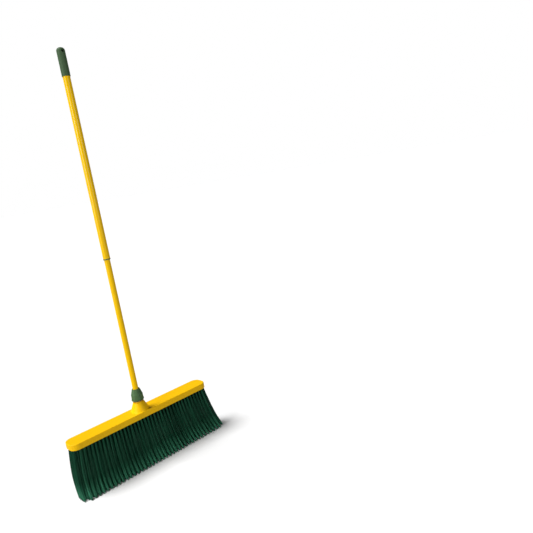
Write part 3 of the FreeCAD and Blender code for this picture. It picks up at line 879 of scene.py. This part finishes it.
@dataclass
class Studio:
    """Plain pale floor, soft light from behind on the left, and the camera."""

    axis: Axis
    azimuth: float = -42.278
    elevation: float = 10.156
    roll: float = 9.597
    distance: float = 2.12697
    lens: float = 36.682852
    sensor: float = 36.0
    aim: tuple[float, float] = (-0.2326416, 0.2626908)
    far: float = 100.0
    floor_width: float = 400.0
    ambient: float = 0.08
    bounce: float = 0.3
    lamps: tuple[tuple[str, tuple[float, float, float], float, float], ...] = (
        ("key", (-0.36, 0.36, 0.86), 34, 1.22), ("side", (-1.0, -0.15, 0.06), 20, 0.85),
        ("front", (0.1, -1.0, 0.06), 16, 0.34))

    def build_camera(self) -> None:
        """Places the camera; aim is how far the socket's foot stands off its axis, as tangents."""
        azimuth, elevation, roll = (math.radians(a) for a in (self.azimuth, self.elevation, self.roll))
        ahead = -Vector((math.sin(azimuth) * math.cos(elevation),
                         -math.cos(azimuth) * math.cos(elevation), math.sin(elevation)))
        right = ahead.cross(Vector((0, 0, 1))).normalized()
        down = ahead.cross(right)
        turned_right = math.cos(roll) * right + math.sin(roll) * down
        turned_down = -math.sin(roll) * right + math.cos(roll) * down
        across, below = self.aim
        target = Vector((0, self.axis.y, self.axis.face))
        place = target - self.distance * (across * turned_right + below * turned_down + ahead)
        data = bpy.data.cameras.new("camera")
        data.sensor_width = self.sensor
        data.lens = self.lens
        data.clip_end = self.far
        camera = bpy.data.objects.new("camera", data)
        bpy.context.scene.collection.objects.link(camera)
        turn = Matrix((turned_right, -turned_down, -ahead)).transposed().to_4x4()
        camera.matrix_world = Matrix.Translation(place) @ turn
        bpy.context.scene.camera = camera

    def add_lamp(self, name: str, source: tuple[float, float, float], spread: float, level: float) -> None:
        """Adds a far lamp.

        Args:
            name: The lamp's name.
            source: Direction from the broom to the lamp.
            spread: The lamp's width as seen from the broom, in degrees.
            level: Brightness of a white surface that faces the lamp.
        """
        data = bpy.data.lights.new(name, "SUN")
        data.angle = math.radians(spread)
        data.energy = level * math.pi
        lamp = bpy.data.objects.new(name, data)
        bpy.context.scene.collection.objects.link(lamp)
        lamp.matrix_world = Vector(source).to_track_quat("Z", "Y").to_matrix().to_4x4()

    def build_floor(self) -> None:
        """Lays the pale floor; what it throws back on the broom is held down, as in a dark studio."""
        deselect_all()
        bpy.ops.mesh.primitive_plane_add(size=self.floor_width, location=(0, 0, 0))
        floor = settle(bpy.context.object, "floor")
        material, tree, shader = start_material("pale_floor")
        speck = tree.add("ShaderNodeTexNoise", Vector=object_coordinates(tree), Scale=3.0, Detail=2.0)
        seen = tree.add("ShaderNodeLightPath").outputs["Is Camera Ray"]
        pale = tree.blend(speck.outputs["Fac"], (0.88, 0.88, 0.88, 1), (0.9, 0.9, 0.9, 1))
        tree.feed(shader.inputs["Base Color"], tree.blend(seen, (*[self.bounce] * 3, 1), pale))
        shader.inputs["Roughness"].default_value = 0.9
        shader.inputs["Specular IOR Level"].default_value = 0.0
        dress(floor, material)

    def build_world(self) -> None:
        """Surrounds the broom with white that lights it less than it shows."""
        world = bpy.data.worlds.new("soft_room")
        world.use_nodes = True
        tree = Tree(world.node_tree)
        sky = next(n for n in world.node_tree.nodes if n.type == "BACKGROUND")
        seen = tree.add("ShaderNodeLightPath").outputs["Is Camera Ray"]
        tree.feed(sky.inputs["Strength"], tree.spread(seen, self.ambient, 1.0))
        sky.inputs["Color"].default_value = (1, 1, 1, 1)
        bpy.context.scene.world = world

    def build(self) -> None:
        """Builds the floor, the lights, the world and the camera."""
        self.build_floor()
        self.build_world()
        for name, source, spread, level in self.lamps:
            self.add_lamp(name, source, spread, level)
        self.build_camera()
        bpy.context.scene.view_settings.view_transform = "Standard"


# ------------------------------------------------------------------ the whole broom


@dataclass
class Broom:
    """Builds every piece and dresses the CAD nodes that stay."""

    groups: Groups = field(default_factory=Groups)

    def dress_nodes(self) -> None:
        """Gives each carried-over CAD node its finish."""
        finishes = {
            YELLOW_BLOCK: ("head_block",), GREEN_FITTING: ("clamp_nut", "guide_bush"),
            GREEN_GRIP: ("grip",), YELLOW_TUBE: ("lower_tube", "upper_tube"),
            NATURAL_PLASTIC: ("clamp_collet", "lock_sleeve", "lock_cone"),
            BLACK_PLASTIC: ("lower_tube_plug", "lock_stud"), DRAWN_WIRE: ("tuft_anchors",)}
        for finish, nodes in finishes.items():
            material = finish.build(self.groups)
            for node in nodes:
                dress(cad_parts[node], material)
                log.info("%s wears %s", node, material.name)

    def build(self) -> None:
        """Builds the broom from the floor up."""
        axis = Axis.from_frame()
        Studio(axis).build()
        tag_materials = {"elastic": ELASTIC.build(self.groups), "card": GREY_CARD.build(self.groups),
                         "eyelet": EYELET_PLATE.build(self.groups)}
        HangTag(axis).build(tag_materials)
        BristleField(axis).build(GREEN_FILAMENT.build(self.groups))
        self.dress_nodes()
        NeckThread(axis).build(bpy.data.materials[YELLOW_BLOCK.name])


def main() -> None:
    logging.basicConfig(level=logging.INFO, format="%(message)s")
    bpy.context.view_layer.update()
    Broom().build()


if __name__ == "__main__":
    main()
